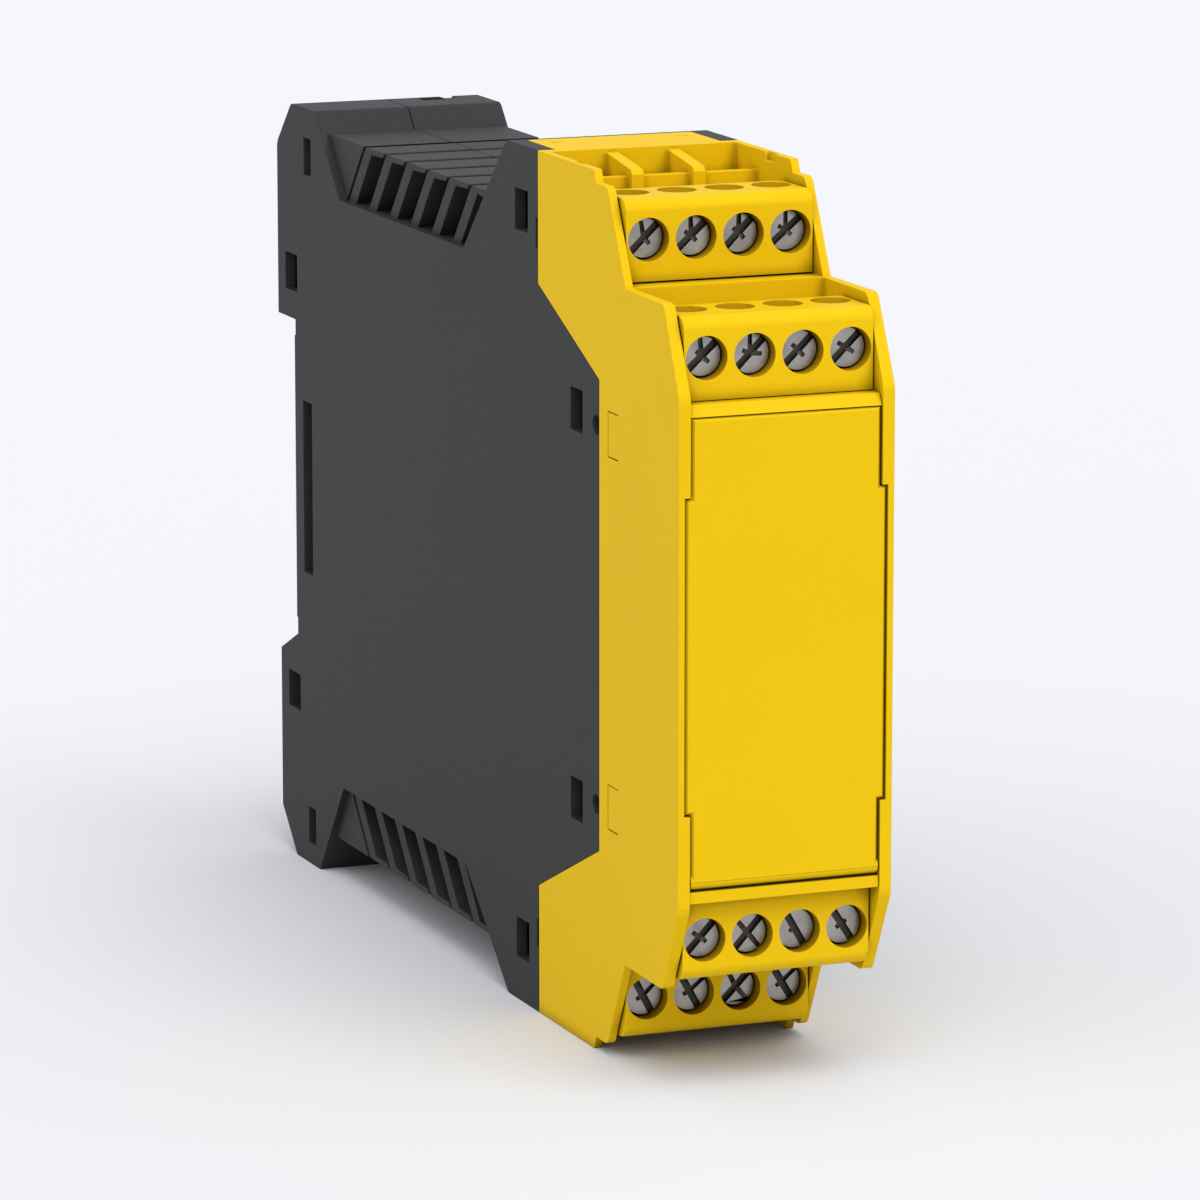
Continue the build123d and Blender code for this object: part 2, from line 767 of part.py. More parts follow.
def make_plug(front, axis, way):
    """Body of a plug-in terminal block, with a screw well, wire funnel and clamp chamber for each pole."""
    profile = [
        (0, -plug_below),
        (0, plug_above - plug_bevel),
        (plug_bevel, plug_above),
        (plug_top_depth, plug_above),
        (plug_top_depth, plug_middle_height),
        (plug_middle_depth, plug_middle_height),
        (plug_middle_depth, plug_rear_height),
        (plug_depth, plug_rear_height),
        (plug_depth, -plug_below),
    ]
    fin = [
        (plug_top_depth, plug_above),
        (plug_top_depth + fin_length, plug_rear_height),
        (plug_top_depth, plug_rear_height),
    ]
    chamber = [
        (chamber_front, -chamber_below),
        (chamber_rear, -chamber_below),
        (chamber_rear, fork_room),
        (chamber_step, fork_room),
        (chamber_step, chamber_above),
        (chamber_front, chamber_above),
    ]

    def placed(points):
        return outline([(front + depth, way * (axis + height)) for depth, height in points])

    well_spots = [(across, half_height + way * axis) for across in poles]
    with BuildPart() as body:
        with BuildSketch(face_plane.offset(-plug_half_width)):
            with BuildLine():
                Polyline(*placed(profile), close=True)
            make_face()
        extrude(amount=2 * plug_half_width)
        for across in (-plug_pitch, 0, plug_pitch):
            with BuildSketch(face_plane.offset(across - fin_width / 2)):
                with BuildLine():
                    Polyline(*placed(fin), close=True)
                make_face()
            extrude(amount=fin_width)
        for across in poles:
            with BuildSketch(face_plane.offset(across - chamber_width / 2)):
                with BuildLine():
                    Polyline(*placed(chamber), close=True)
                make_face()
            extrude(amount=chamber_width, mode=Mode.SUBTRACT)
        with BuildSketch(Plane.XZ.offset(half_depth - front)):
            with Locations(*well_spots):
                Circle(well_radius)
        extrude(amount=-well_depth, mode=Mode.SUBTRACT)
        with BuildSketch(Plane.XZ.offset(half_depth - front - well_depth)):
            with Locations(*well_spots):
                RegularPolygon(shank_radius + running_gap, shank_sides, major_radius=False)
        extrude(amount=-(chamber_front - well_depth), mode=Mode.SUBTRACT)
        # Wire funnels: a twelve-sided taper in the top face over a straight slot into the clamp
        top_plane = Plane.XY.offset(half_height + way * (axis + plug_above))
        spots = [(across, front + funnel_depth - half_depth) for across in poles]
        with BuildSketch(top_plane):
            with Locations(*spots):
                RegularPolygon(funnel_radius, facet_count)
        extrude(
            amount=-way * funnel_height,
            taper=way * degrees(atan2(funnel_radius - funnel_throat, funnel_height)),
            mode=Mode.SUBTRACT,
        )
        slot_middle = bar_depth + wire_slot_length / 2 - half_depth
        with BuildSketch(Plane.XY.offset(half_height + way * (axis + plug_above - funnel_height))):
            with Locations(*[(across, front + slot_middle) for across in poles]):
                Rectangle(wire_slot_width, wire_slot_length)
        extrude(amount=-way * (plug_above - funnel_height - chamber_above), mode=Mode.SUBTRACT)
    return body


def make_screw(front, axis, way, across, turn):
    """Terminal screw with a slot across its head."""
    spot = (across, half_height + way * axis)
    head_plane = Plane.XZ.offset(half_depth - front - head_recess)
    with BuildPart() as screw:
        with BuildSketch(head_plane):
            with Locations(spot):
                Circle(head_radius)
        extrude(amount=-head_thickness)
        with BuildSketch(head_plane):
            with Locations(spot):
                RegularPolygon(shank_radius, shank_sides)
        extrude(amount=-(bar_depth - running_gap - head_recess))
        with BuildSketch(head_plane):
            with Locations(spot):
                Rectangle(2 * head_radius + overlap, slot_width, rotation=turn)
        extrude(amount=-slot_depth, mode=Mode.SUBTRACT)
    return screw


def make_clamp(front, axis, way, across):
    """Rising clamp cage: a frame open upwards for the wire, tapped at the front for its screw."""
    with BuildPart() as clamp:
        with BuildSketch(Plane.XY.offset(half_height + way * axis - clamp_half_height)):
            with Locations((across, front + clamp_front + clamp_length / 2 - half_depth)):
                Rectangle(clamp_width, clamp_length)
                Rectangle(clamp_width - 2 * clamp_wall, clamp_length - 2 * clamp_wall, mode=Mode.SUBTRACT)
        extrude(amount=2 * clamp_half_height)
        with BuildSketch(Plane.XZ.offset(half_depth - front - clamp_front)):
            with Locations((across, half_height + way * axis)):
                RegularPolygon(shank_radius + running_gap, shank_sides, major_radius=False)
        extrude(amount=-clamp_wall, mode=Mode.SUBTRACT)
    return clamp


def make_contacts(front, axis, way):
    """Four current bars that end in a two-leaf fork around the header pins."""
    leaf_inner = pin_size / 2 + running_gap
    leaf_outer = leaf_inner + fork_leaf
    low = running_gap - chamber_below
    profile = [
        (bar_depth, bar_top_height),
        (bar_depth + bar_thickness, bar_top_height),
        (bar_depth + bar_thickness, low + contact_strip),
        (fork_start, low + contact_strip),
        (fork_start, leaf_outer),
        (fork_end, leaf_outer),
        (fork_end, leaf_inner),
        (fork_start + contact_strip, leaf_inner),
        (fork_start + contact_strip, -leaf_inner),
        (fork_end, -leaf_inner),
        (fork_end, -leaf_outer),
        (fork_start + contact_strip, -leaf_outer),
        (fork_start + contact_strip, low),
        (bar_depth, low),
    ]
    with BuildPart() as contacts:
        for across in poles:
            with BuildSketch(face_plane.offset(across - contact_width / 2)):
                with BuildLine():
                    Polyline(
                        *outline([(front + depth, way * (axis + height)) for depth, height in profile]),
                        close=True,
                    )
                make_face()
            extrude(amount=contact_width)
    return contacts


def make_header(front, axis, way):
    """Plug header: a moulded bar with four square holes for its pins."""
    start = front + plug_depth + header_gap
    with BuildPart() as header:
        with BuildSketch(face_plane.offset(-header_half_width)):
            with Locations(
                at(start + header_thickness / 2, way * (axis + (header_above - header_below) / 2))
            ):
                Rectangle(header_thickness, header_above + header_below)
        extrude(amount=2 * header_half_width)
        with BuildSketch(Plane.XZ.offset(half_depth - start)):
            with Locations(*[(across, half_height + way * axis) for across in poles]):
                Rectangle(pin_size, pin_size)
        extrude(amount=-header_thickness, mode=Mode.SUBTRACT)
    return header


poles = [(number - (pole_count - 1) / 2) * plug_pitch for number in range(pole_count)]
plugs = (
    (outer_plug_front, outer_axis_height, 1),
    (inner_plug_front, inner_axis_height, 1),
    (inner_plug_front, inner_axis_height, -1),
    (outer_plug_front, outer_axis_height, -1),
)
for number, (front, axis, way) in enumerate(plugs, start=1):
    finish(make_plug(front, axis, way), f"plug_{number}")
    finish(make_contacts(front, axis, way), f"contacts_{number}")
    finish(make_header(front, axis, way), f"header_{number}")
    for pole, across in enumerate(poles, start=1):
        turn = screw_turns[(number - 1) * pole_count + pole - 1]
        finish(make_screw(front, axis, way, across, turn), f"screw_{number}_{pole}")
        finish(make_clamp(front, axis, way, across), f"clamp_{number}_{pole}")

# Header pins: straight through the header, then bent across to the circuit board
with BuildPart() as header_pins:
    for front, axis, way in plugs:
        header_start = front + plug_depth + header_gap
        for pole, across in enumerate(poles):
            step = max(0, pole - 1)
            tail_depth = header_start + header_thickness + tail_start + step * tail_step
            target = board_back if across < board_back else board_face
            with BuildSketch(Plane.XZ.offset(half_depth - header_start + pin_reach)):
                with Locations((across, half_height + way * axis)):
                    Rectangle(pin_size, pin_size)
            extrude(amount=-(pin_reach + tail_depth + pin_size / 2 - header_start))
            with BuildSketch(face_plane.offset(across)):
                with Locations(at(tail_depth, way * axis)):
                    Rectangle(pin_size, pin_size)
            extrude(amount=target - across)
finish(header_pins, "header_pins")

# Main board, with tabs behind the outer headers
board_points = [
    (board_front, board_nose_half),
    (board_step, board_nose_half),
    (board_step, board_half_height),
    (tab_front, board_half_height),
    (tab_front, tab_half_height),
    (tab_rear, tab_half_height),
    (tab_rear, board_half_height),
    (board_rear, board_half_height),
]
board_points += [(depth, -height) for depth, height in reversed(board_points)]
with BuildPart() as main_board:
    with BuildSketch(face_plane.offset(board_back)):
        with BuildLine():
            Polyline(*outline(board_points), close=True)
        make_face()
    extrude(amount=board_thickness)
finish(main_board, "main_board")

with BuildPart() as board_chips:
    with BuildSketch(face_plane.offset(board_back)):
        with Locations(*[at(depth, 0) for depth in chip_depths]):
            Rectangle(chip_size, chip_size)
    extrude(amount=-chip_thickness)
finish(board_chips, "board_chips")

for number, way in ((1, 1), (2, -1)):
    with BuildPart() as relay:
        with BuildSketch(face_plane.offset(board_face)):
            with Locations(at(relay_front + relay_length / 2, way * (relay_gap + relay_height) / 2)):
                RectangleRounded(relay_length, relay_height, relay_case_radius)
        extrude(amount=relay_width)
    finish(relay, f"relay_{number}")

with BuildPart() as capacitor:
    with BuildSketch(face_plane.offset(board_face)):
        with Locations(at(capacitor_depth, capacitor_height)):
            Circle(capacitor_radius)
    extrude(amount=capacitor_length)
    chamfer(faces().sort_by(Axis.X)[-1].edges(), capacitor_round)
finish(capacitor, "capacitor")

# Mode selector: a slotted disc on a stem, and the switch body that holds it
selector_spot = (0, half_height + selector_height)
base_start = frame_plate_depth + frame_plate_thickness + selector_clearance
with BuildPart() as selector_base:
    with BuildSketch(Plane.XZ.offset(half_depth - base_start)):
        with Locations(((board_face + selector_base_size / 2) / 2, half_height + selector_height)):
            Rectangle(selector_base_size / 2 - board_face, selector_base_size)
    extrude(amount=-selector_base_depth)
    with BuildSketch(Plane.XZ.offset(half_depth - base_start)):
        with Locations(selector_spot):
            Circle(selector_stem_radius + running_gap)
    extrude(amount=-(selector_stem_length + running_gap), mode=Mode.SUBTRACT)
finish(selector_base, "selector_base")

with BuildPart() as mode_selector:
    disc_front = frame_plate_depth + seam_gap
    disc_back = base_start - seam_gap
    with BuildSketch(Plane.XZ.offset(half_depth - disc_front)):
        with Locations(selector_spot):
            Circle(selector_radius)
    extrude(amount=disc_front - disc_back)
    with BuildSketch(Plane.XZ.offset(half_depth - disc_back)):
        with Locations(selector_spot):
            Circle(selector_stem_radius)
    extrude(amount=-(selector_stem_length + seam_gap))
    with BuildSketch(Plane.XZ.offset(half_depth - disc_front)):
        with Locations(selector_spot):
            Rectangle(2 * (selector_radius - selector_slot_margin), slot_width, rotation=selector_turn)
    extrude(amount=-slot_depth, mode=Mode.SUBTRACT)
finish(mode_selector, "mode_selector")

# Indicator guides: four clear rods on one strip behind the plate
with BuildPart() as light_guides:
    strip_depth = frame_plate_depth + frame_plate_thickness + running_gap
    with BuildSketch(Plane.XZ.offset(half_depth - strip_depth)):
        with Locations((0, half_height + (guide_heights[0] + guide_heights[-1]) / 2)):
            Rectangle(2 * guide_radius, guide_heights[0] - guide_heights[-1] + 2 * guide_radius + 1)
    extrude(amount=-guide_strip)
    with BuildSketch(Plane.XZ.offset(half_depth - strip_depth)):
        with Locations(*[(0, half_height + height) for height in guide_heights]):
            RegularPolygon(guide_radius, facet_count)
    extrude(amount=strip_depth - frame_plate_depth)
finish(light_guides, "light_guides")

# Rail foot: a sliding plate with side flanges, a spring window, a ramped nose and a release slot
chamfer_line = module_depth + half_height - rear_chamfer - seam_gap
with BuildPart() as rail_foot:
    with BuildSketch(face_plane.offset(-foot_half_width)):
        with BuildLine():
            Polyline(
                *outline(
                    [
                        (foot_front_depth, foot_nose_height),
                        (foot_front_depth + foot_nose_flat, foot_nose_height),
                        (foot_back_depth, foot_nose_height - foot_nose_ramp),
                        (foot_back_depth, foot_back_depth - chamfer_line),
                        (chamfer_line + foot_bottom_height, foot_bottom_height),
                        (foot_front_depth, foot_bottom_height),
                    ]
                ),
                close=True,
            )
        make_face()
    extrude(amount=2 * foot_half_width)
    with BuildSketch(face_plane.offset(-(foot_half_width + foot_flange))):
        with Locations(
            at(foot_flange_front + foot_flange_thickness / 2, foot_flange_top - foot_flange_length / 2)
        ):
            Rectangle(foot_flange_thickness, foot_flange_length)
    extrude(amount=2 * (foot_half_width + foot_flange))
    with BuildSketch(Plane.XZ.offset(half_depth - foot_front_depth)):
        with Locations((0, half_height + (spring_top_height + window_bottom_height) / 2)):
            Rectangle(2 * foot_window_half, spring_top_height - window_bottom_height)
        with Locations((0, half_height + window_bottom_height - release_bar - release_slot / 2)):
            Rectangle(2 * foot_window_half, release_slot)
    extrude(amount=foot_front_depth - foot_back_depth, mode=Mode.SUBTRACT)
finish(rail_foot, "rail_foot")

# Foot spring: a folded strip between the peg and the top of the foot's window
with BuildPart() as foot_spring:
    folds = 2 * spring_waves
    fold_height = (spring_top_height - peg_top_height - spring_gauge) / folds
    near = foot_front_depth + spring_margin
    far = foot_back_depth - spring_margin
    spring_points = [
        ((near, far)[fold % 2], peg_top_height + spring_gauge / 2 + fold * fold_height)
        for fold in range(folds + 1)
    ]
    with BuildSketch(face_plane.offset(-spring_width / 2)):
        with BuildLine():
            FilletPolyline(*outline(spring_points), radius=spring_gauge)
        trace(line_width=spring_gauge)
    extrude(amount=spring_width)
finish(foot_spring, "foot_spring")
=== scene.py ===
import json
import math

import bmesh
import bpy
from mathutils import Matrix, Vector


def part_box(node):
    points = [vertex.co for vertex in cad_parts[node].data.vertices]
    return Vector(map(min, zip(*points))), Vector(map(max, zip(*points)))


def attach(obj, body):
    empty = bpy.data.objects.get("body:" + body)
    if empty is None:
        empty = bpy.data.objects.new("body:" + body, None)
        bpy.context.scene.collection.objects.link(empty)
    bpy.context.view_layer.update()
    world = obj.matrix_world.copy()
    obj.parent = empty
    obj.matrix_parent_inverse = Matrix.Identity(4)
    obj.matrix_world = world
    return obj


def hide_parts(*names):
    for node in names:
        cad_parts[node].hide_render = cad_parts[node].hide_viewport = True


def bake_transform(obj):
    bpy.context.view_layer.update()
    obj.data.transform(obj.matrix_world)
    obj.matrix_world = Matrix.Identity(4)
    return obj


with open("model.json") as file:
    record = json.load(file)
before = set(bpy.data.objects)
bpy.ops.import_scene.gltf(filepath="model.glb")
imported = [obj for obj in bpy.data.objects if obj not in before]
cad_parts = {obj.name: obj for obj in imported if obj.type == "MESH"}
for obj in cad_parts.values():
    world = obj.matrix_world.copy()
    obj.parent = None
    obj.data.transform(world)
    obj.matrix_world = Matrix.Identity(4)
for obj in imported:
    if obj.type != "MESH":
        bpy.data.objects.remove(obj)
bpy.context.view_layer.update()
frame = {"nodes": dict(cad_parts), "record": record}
mm = 0.001  # millimetres to metres


def linearColour(hexCode, alpha=1.0):
    # From the sRGB scale of a screen to the linear scale of a shader socket
    channels = [int(hexCode[start:start + 2], 16) / 255 for start in (0, 2, 4)]
    return [c / 12.92 if c <= 0.04045 else ((c + 0.055) / 1.055) ** 2.4 for c in channels] + [alpha]


def addNode(tree, kind, settings=None, inputs=None, links=None):
    node = tree.nodes.new(kind)
    for name, value in (settings or {}).items():
        setattr(node, name, value)
    for name, value in (inputs or {}).items():
        node.inputs[name].default_value = value
    for name, source in (links or {}).items():
        tree.links.new(source, node.inputs[name])
    return node


def newMaterial(name):
    material = bpy.data.materials.new(name)
    material.use_nodes = True
    material.node_tree.nodes.clear()
    return material, material.node_tree


def newPiece(name, shape):
    mesh = bpy.data.meshes.new(name)
    shape.to_mesh(mesh)
    shape.free()
    piece = bpy.data.objects.new(name, mesh)
    bpy.context.scene.collection.objects.link(piece)
    return piece


# Camera at the photograph's viewing angle: places in millimetres, angles in degrees
cameraView = {
    "place": (-256.48, -655.87, 178.5),
    "yaw": 21.668,
    "pitch": -11.26,
    "focalPixels": 6882.1,
    "imagePixels": 1200,
    "sensor": 36.0,
    "reachMetres": 20,
}
cameraData = bpy.data.cameras.new("photoCamera")
cameraData.sensor_width = cameraView["sensor"]
cameraData.lens = cameraView["focalPixels"] / cameraView["imagePixels"] * cameraView["sensor"]
cameraData.clip_end = cameraView["reachMetres"]
camera = bpy.data.objects.new("photoCamera", cameraData)
camera.location = [value * mm for value in cameraView["place"]]
camera.rotation_euler = (math.radians(90 + cameraView["pitch"]), 0, -math.radians(cameraView["yaw"]))
bpy.context.scene.collection.objects.link(camera)
bpy.context.scene.camera = camera
print("camera set")

# Soft studio light: two wide suns and an even pale world
studioLight = {
    "keyStrength": 2.0,
    "keyAngle": 50,
    "keyFrom": (0.02, -0.55, 0.9),
    "fillStrength": 1.05,
    "fillAngle": 100,
    "fillFrom": (-0.9, -0.6, 0.35),
    "worldColour": "F7F8FB",
    "worldStrength": 0.82,
    "backdrop": "F5F7FB",
}


def addSun(name, strength, angle, comesFrom):
    sunData = bpy.data.lights.new(name, "SUN")
    sunData.energy = strength
    sunData.angle = math.radians(angle)
    sun = bpy.data.objects.new(name, sunData)
    sun.rotation_euler = Vector(comesFrom).to_track_quat("Z", "Y").to_euler()
    bpy.context.scene.collection.objects.link(sun)


addSun("keySun", studioLight["keyStrength"], studioLight["keyAngle"], studioLight["keyFrom"])
addSun("fillSun", studioLight["fillStrength"], studioLight["fillAngle"], studioLight["fillFrom"])

world = bpy.data.worlds.new("paleStudio")
bpy.context.scene.world = world
world.use_nodes = True
worldTree = world.node_tree
worldTree.nodes.clear()
rays = addNode(worldTree, "ShaderNodeLightPath")
straight = addNode(worldTree, "ShaderNodeMath", {"operation": "MAXIMUM"},
                   links={0: rays.outputs["Is Camera Ray"], 1: rays.outputs["Is Transmission Ray"]})
seen = addNode(worldTree, "ShaderNodeMath", {"operation": "MAXIMUM"},
               links={0: straight.outputs[0], 1: rays.outputs["Is Glossy Ray"]})
lighting = addNode(worldTree, "ShaderNodeBackground",
                   inputs={"Color": linearColour(studioLight["worldColour"]),
                           "Strength": studioLight["worldStrength"]})
backdrop = addNode(worldTree, "ShaderNodeBackground",
                   inputs={"Color": linearColour(studioLight["backdrop"]), "Strength": 1.0})
worldMix = addNode(worldTree, "ShaderNodeMixShader",
                   links={0: seen.outputs[0], 1: lighting.outputs[0], 2: backdrop.outputs[0]})
addNode(worldTree, "ShaderNodeOutputWorld", links={"Surface": worldMix.outputs[0]})

floorLook = {"size": 12.0, "colour": "D1D2D5", "roughness": 0.9}
floorMaterial, floorTree = newMaterial("paleSeamlessPaper")  # matt paper sweep, keeps the soft shadow
paper = addNode(floorTree, "ShaderNodeBsdfPrincipled",
                inputs={"Base Color": linearColour(floorLook["colour"]),
                        "Roughness": floorLook["roughness"], "Specular IOR Level": 0.0})
addNode(floorTree, "ShaderNodeOutputMaterial", links={"Surface": paper.outputs[0]})
floorShape = bmesh.new()
bmesh.ops.create_grid(floorShape, x_segments=1, y_segments=1, size=floorLook["size"] / 2)
floor = newPiece("floor", floorShape)
floor.data.materials.append(floorMaterial)
print("light and floor set")


# The colour sockets of a Mix node, and the middle part of a noise texture's range, which it seldom leaves
colourMix = {"first": 6, "second": 7, "result": 2}
noiseSpan = {"low": 0.3, "high": 0.7}


def mouldedPlastic(name, look):
    # Injection-moulded thermoplastic: even colour, a spark-eroded grain that breaks up the highlight,
    # a faint cloudiness from the flow of the melt, and painted shade that darkens the colour in narrow gaps
    material, tree = newMaterial(name)
    place = addNode(tree, "ShaderNodeTexCoord")
    cloud = addNode(tree, "ShaderNodeTexNoise", {"noise_dimensions": "3D"},
                    {"Scale": 1 / (look["cloudMm"] * mm), "Detail": 3.0, "Roughness": 0.55},
                    {"Vector": place.outputs["Object"]})
    colour = addNode(tree, "ShaderNodeMix", {"data_type": "RGBA"}, links={0: cloud.outputs["Fac"]})
    colour.inputs[colourMix["first"]].default_value = linearColour(look["dark"])
    colour.inputs[colourMix["second"]].default_value = linearColour(look["light"])
    # Painted shade: the colour is darkened where ambient occlusion finds near surfaces
    openness = addNode(tree, "ShaderNodeAmbientOcclusion", {"samples": 8},
                       {"Distance": look["creviceMm"] * mm})
    openShare = addNode(tree, "ShaderNodeMapRange", inputs={"From Max": look["creviceOpen"]},
                        links={"Value": openness.outputs["AO"]})
    openCurve = addNode(tree, "ShaderNodeMath", {"operation": "POWER"}, {1: look["creviceCurve"]},
                        {0: openShare.outputs[0]})
    paintedShade = addNode(tree, "ShaderNodeMath", {"operation": "MULTIPLY_ADD"},
                      {1: 1 - look["creviceShade"], 2: look["creviceShade"]}, {0: openCurve.outputs[0]})
    shaded = addNode(tree, "ShaderNodeVectorMath", {"operation": "SCALE"},
                     links={0: colour.outputs[colourMix["result"]], "Scale": paintedShade.outputs[0]})
    grain = addNode(tree, "ShaderNodeTexNoise", {"noise_dimensions": "3D"},
                    {"Scale": 1 / (look["grainMm"] * mm), "Detail": 4.0, "Roughness": 0.65},
                    {"Vector": place.outputs["Object"]})
    gloss = addNode(tree, "ShaderNodeMapRange",
                    inputs={"From Min": noiseSpan["low"], "From Max": noiseSpan["high"],
                            "To Min": look["roughness"] - look["roughnessSpread"],
                            "To Max": look["roughness"] + look["roughnessSpread"]},
                    links={"Value": grain.outputs["Fac"]})
    relief = addNode(tree, "ShaderNodeBump",
                     inputs={"Strength": look["reliefStrength"], "Distance": look["reliefMm"] * mm},
                     links={"Height": grain.outputs["Fac"]})
    surface = addNode(tree, "ShaderNodeBsdfPrincipled",
                      inputs={"IOR": look["ior"], "Specular IOR Level": look["specular"]},
                      links={"Base Color": shaded.outputs[0], "Roughness": gloss.outputs[0],
                             "Normal": relief.outputs[0]})
    addNode(tree, "ShaderNodeOutputMaterial", links={"Surface": surface.outputs[0]})
    return material


def platedMetal(name, look):
    # Machined or stamped metal under a thin plating: fine scratches one way, and broad patches that shift
    # the colour from dark to light and the roughness with it
    material, tree = newMaterial(name)
    place = addNode(tree, "ShaderNodeTexCoord")
    stretch = addNode(tree, "ShaderNodeMapping", inputs={"Scale": look["stretch"]},
                      links={"Vector": place.outputs["Object"]})
    scratches = addNode(tree, "ShaderNodeTexNoise", {"noise_dimensions": "3D"},
                        {"Scale": 1 / (look["scratchMm"] * mm), "Detail": 5.0, "Roughness": 0.7},
                        {"Vector": stretch.outputs[0]})
    patches = addNode(tree, "ShaderNodeTexNoise", {"noise_dimensions": "3D"},
                      {"Scale": 1 / (look["patchMm"] * mm), "Detail": 3.0, "Roughness": 0.6},
                      {"Vector": place.outputs["Object"]})
    colour = addNode(tree, "ShaderNodeMix", {"data_type": "RGBA"}, links={0: patches.outputs["Fac"]})
    colour.inputs[colourMix["first"]].default_value = linearColour(look["dark"])
    colour.inputs[colourMix["second"]].default_value = linearColour(look["light"])
    gloss = addNode(tree, "ShaderNodeMapRange",
                    inputs={"From Min": noiseSpan["low"], "From Max": noiseSpan["high"],
                            "To Min": look["roughness"] - look["roughnessSpread"],
                            "To Max": look["roughness"] + look["roughnessSpread"]},
                    links={"Value": patches.outputs["Fac"]})
    relief = addNode(tree, "ShaderNodeBump",
                     inputs={"Strength": look["reliefStrength"], "Distance": look["reliefMm"] * mm},
                     links={"Height": scratches.outputs["Fac"]})
    surface = addNode(tree, "ShaderNodeBsdfPrincipled", inputs={"Metallic": 1.0},
                      links={"Base Color": colour.outputs[colourMix["result"]],
                             "Roughness": gloss.outputs[0], "Normal": relief.outputs[0]})
    addNode(tree, "ShaderNodeOutputMaterial", links={"Surface": surface.outputs[0]})
    return material


# The crevice settings set the painted shade: reach of the occlusion in millimetres, the share that counts
# as open, its curve, and the darkest the colour gets
greyShellLook = {
    "dark": "242526", "light": "28292A", "cloudMm": 18, "grainMm": 0.35, "roughness": 0.62,
    "roughnessSpread": 0.07, "reliefStrength": 0.3, "reliefMm": 0.05, "ior": 1.53, "specular": 0.2,
    "creviceMm": 1.5, "creviceOpen": 0.8, "creviceShade": 0.75, "creviceCurve": 1.0,
}
yellowHousingLook = {
    "dark": "D6AF0B", "light": "DAB30F", "cloudMm": 22, "grainMm": 0.3, "roughness": 0.52,
    "roughnessSpread": 0.06, "reliefStrength": 0.16, "reliefMm": 0.04, "ior": 1.53, "specular": 0.04,
    "creviceMm": 1.9, "creviceOpen": 0.85, "creviceShade": 0.15, "creviceCurve": 1.35,
}
yellowCoverLook = dict(yellowHousingLook, reliefStrength=0.1, roughness=0.48)
yellowPlugLook = dict(yellowHousingLook, reliefStrength=0.12, roughness=0.46)
# Darker yellow for the walls of the screw wells and wire funnels: painted shade
yellowWellShadeLook = dict(yellowPlugLook, dark="A37F03", light="AE8805", roughness=0.6)
blackPartLook = dict(greyShellLook, dark="151516", light="1B1B1C", roughness=0.5)
whitePartLook = dict(greyShellLook, dark="D6D6D0", light="DEDED8", roughness=0.4)
relayCaseLook = dict(greyShellLook, dark="C8CAC4", light="D2D4CE", roughness=0.35)
boardLook = dict(greyShellLook, dark="1A5230", light="1F5C36", roughness=0.4, cloudMm=30)
clearGuideLook = dict(greyShellLook, dark="D4DADD", light="DCE2E4", roughness=0.15)
screwLook = {
    "dark": "62605E", "light": "C6C3BE", "stretch": (1, 1, 6), "scratchMm": 0.5, "patchMm": 2.2,
    "roughness": 0.36, "roughnessSpread": 0.1, "reliefStrength": 0.25, "reliefMm": 0.02,
}
# Darker colour for the slot and cross recess of each screw: painted shade, on a rougher metal
recessShadeLook = dict(screwLook, dark="4A4743", light="625F5A", roughness=0.6)
clampLook = dict(screwLook, dark="9A9994", light="BDBCB6", roughness=0.35)
tinnedLook = dict(screwLook, dark="BFBEB8", light="D2D1CB", roughness=0.28)
canLook = dict(screwLook, dark="8E9094", light="A6A8AB", roughness=0.3)
springLook = dict(screwLook, dark="8A8A88", light="A4A4A2", roughness=0.3)

materials = {
    "grey_shell": mouldedPlastic("greyPolyamideShell", greyShellLook),
    "yellow_housing": mouldedPlastic("yellowPolyamideHousing", yellowHousingLook),
    "yellow_cover": mouldedPlastic("yellowPolycarbonateCover", yellowCoverLook),
    "yellow_plug": mouldedPlastic("yellowPolyamidePlug", yellowPlugLook),
    "switch_black": mouldedPlastic("blackPolyesterSocket", blackPartLook),
    "foot_black": mouldedPlastic("blackAcetalFoot", blackPartLook),
    "selector_white": mouldedPlastic("whiteAcetalSelector", whitePartLook),
    "relay_case": mouldedPlastic("paleRelayCase", relayCaseLook),
    "board_green": mouldedPlastic("greenSolderResist", boardLook),
    "clear_guide": mouldedPlastic("clearAcrylicGuide", clearGuideLook),
    "screw_steel": platedMetal("zincPlatedScrew", screwLook),
    "clamp_steel": platedMetal("zincPlatedClamp", clampLook),
    "tinned_contact": platedMetal("tinnedCopperContact", tinnedLook),
    "capacitor_can": platedMetal("aluminiumCan", canLook),
    "spring_steel": platedMetal("stainlessStripSpring", springLook),
}
recessPaintedShade = platedMetal("screwRecessPaintedShade", recessShadeLook)
wellPaintedShade = mouldedPlastic("yellowPolyamideWellPaintedShade", yellowWellShadeLook)
print("materials made")

nodeSlots = {part["node"]: part["material_slot"] for part in frame["record"]["subparts"]}
nodeBodies = {
    node: body for body, members in frame["record"]["behaviour"]["bodies"].items() for node in members
}
for node, piece in frame["nodes"].items():
    piece.data.materials.clear()
    piece.data.materials.append(materials[nodeSlots[node]])


# How closely a corner has to match a given place, and the shortest edge that counts, in millimetres
closeness = {"straight": 0.01, "place": 0.02, "corner": 0.03, "shortestEdge": 0.3}


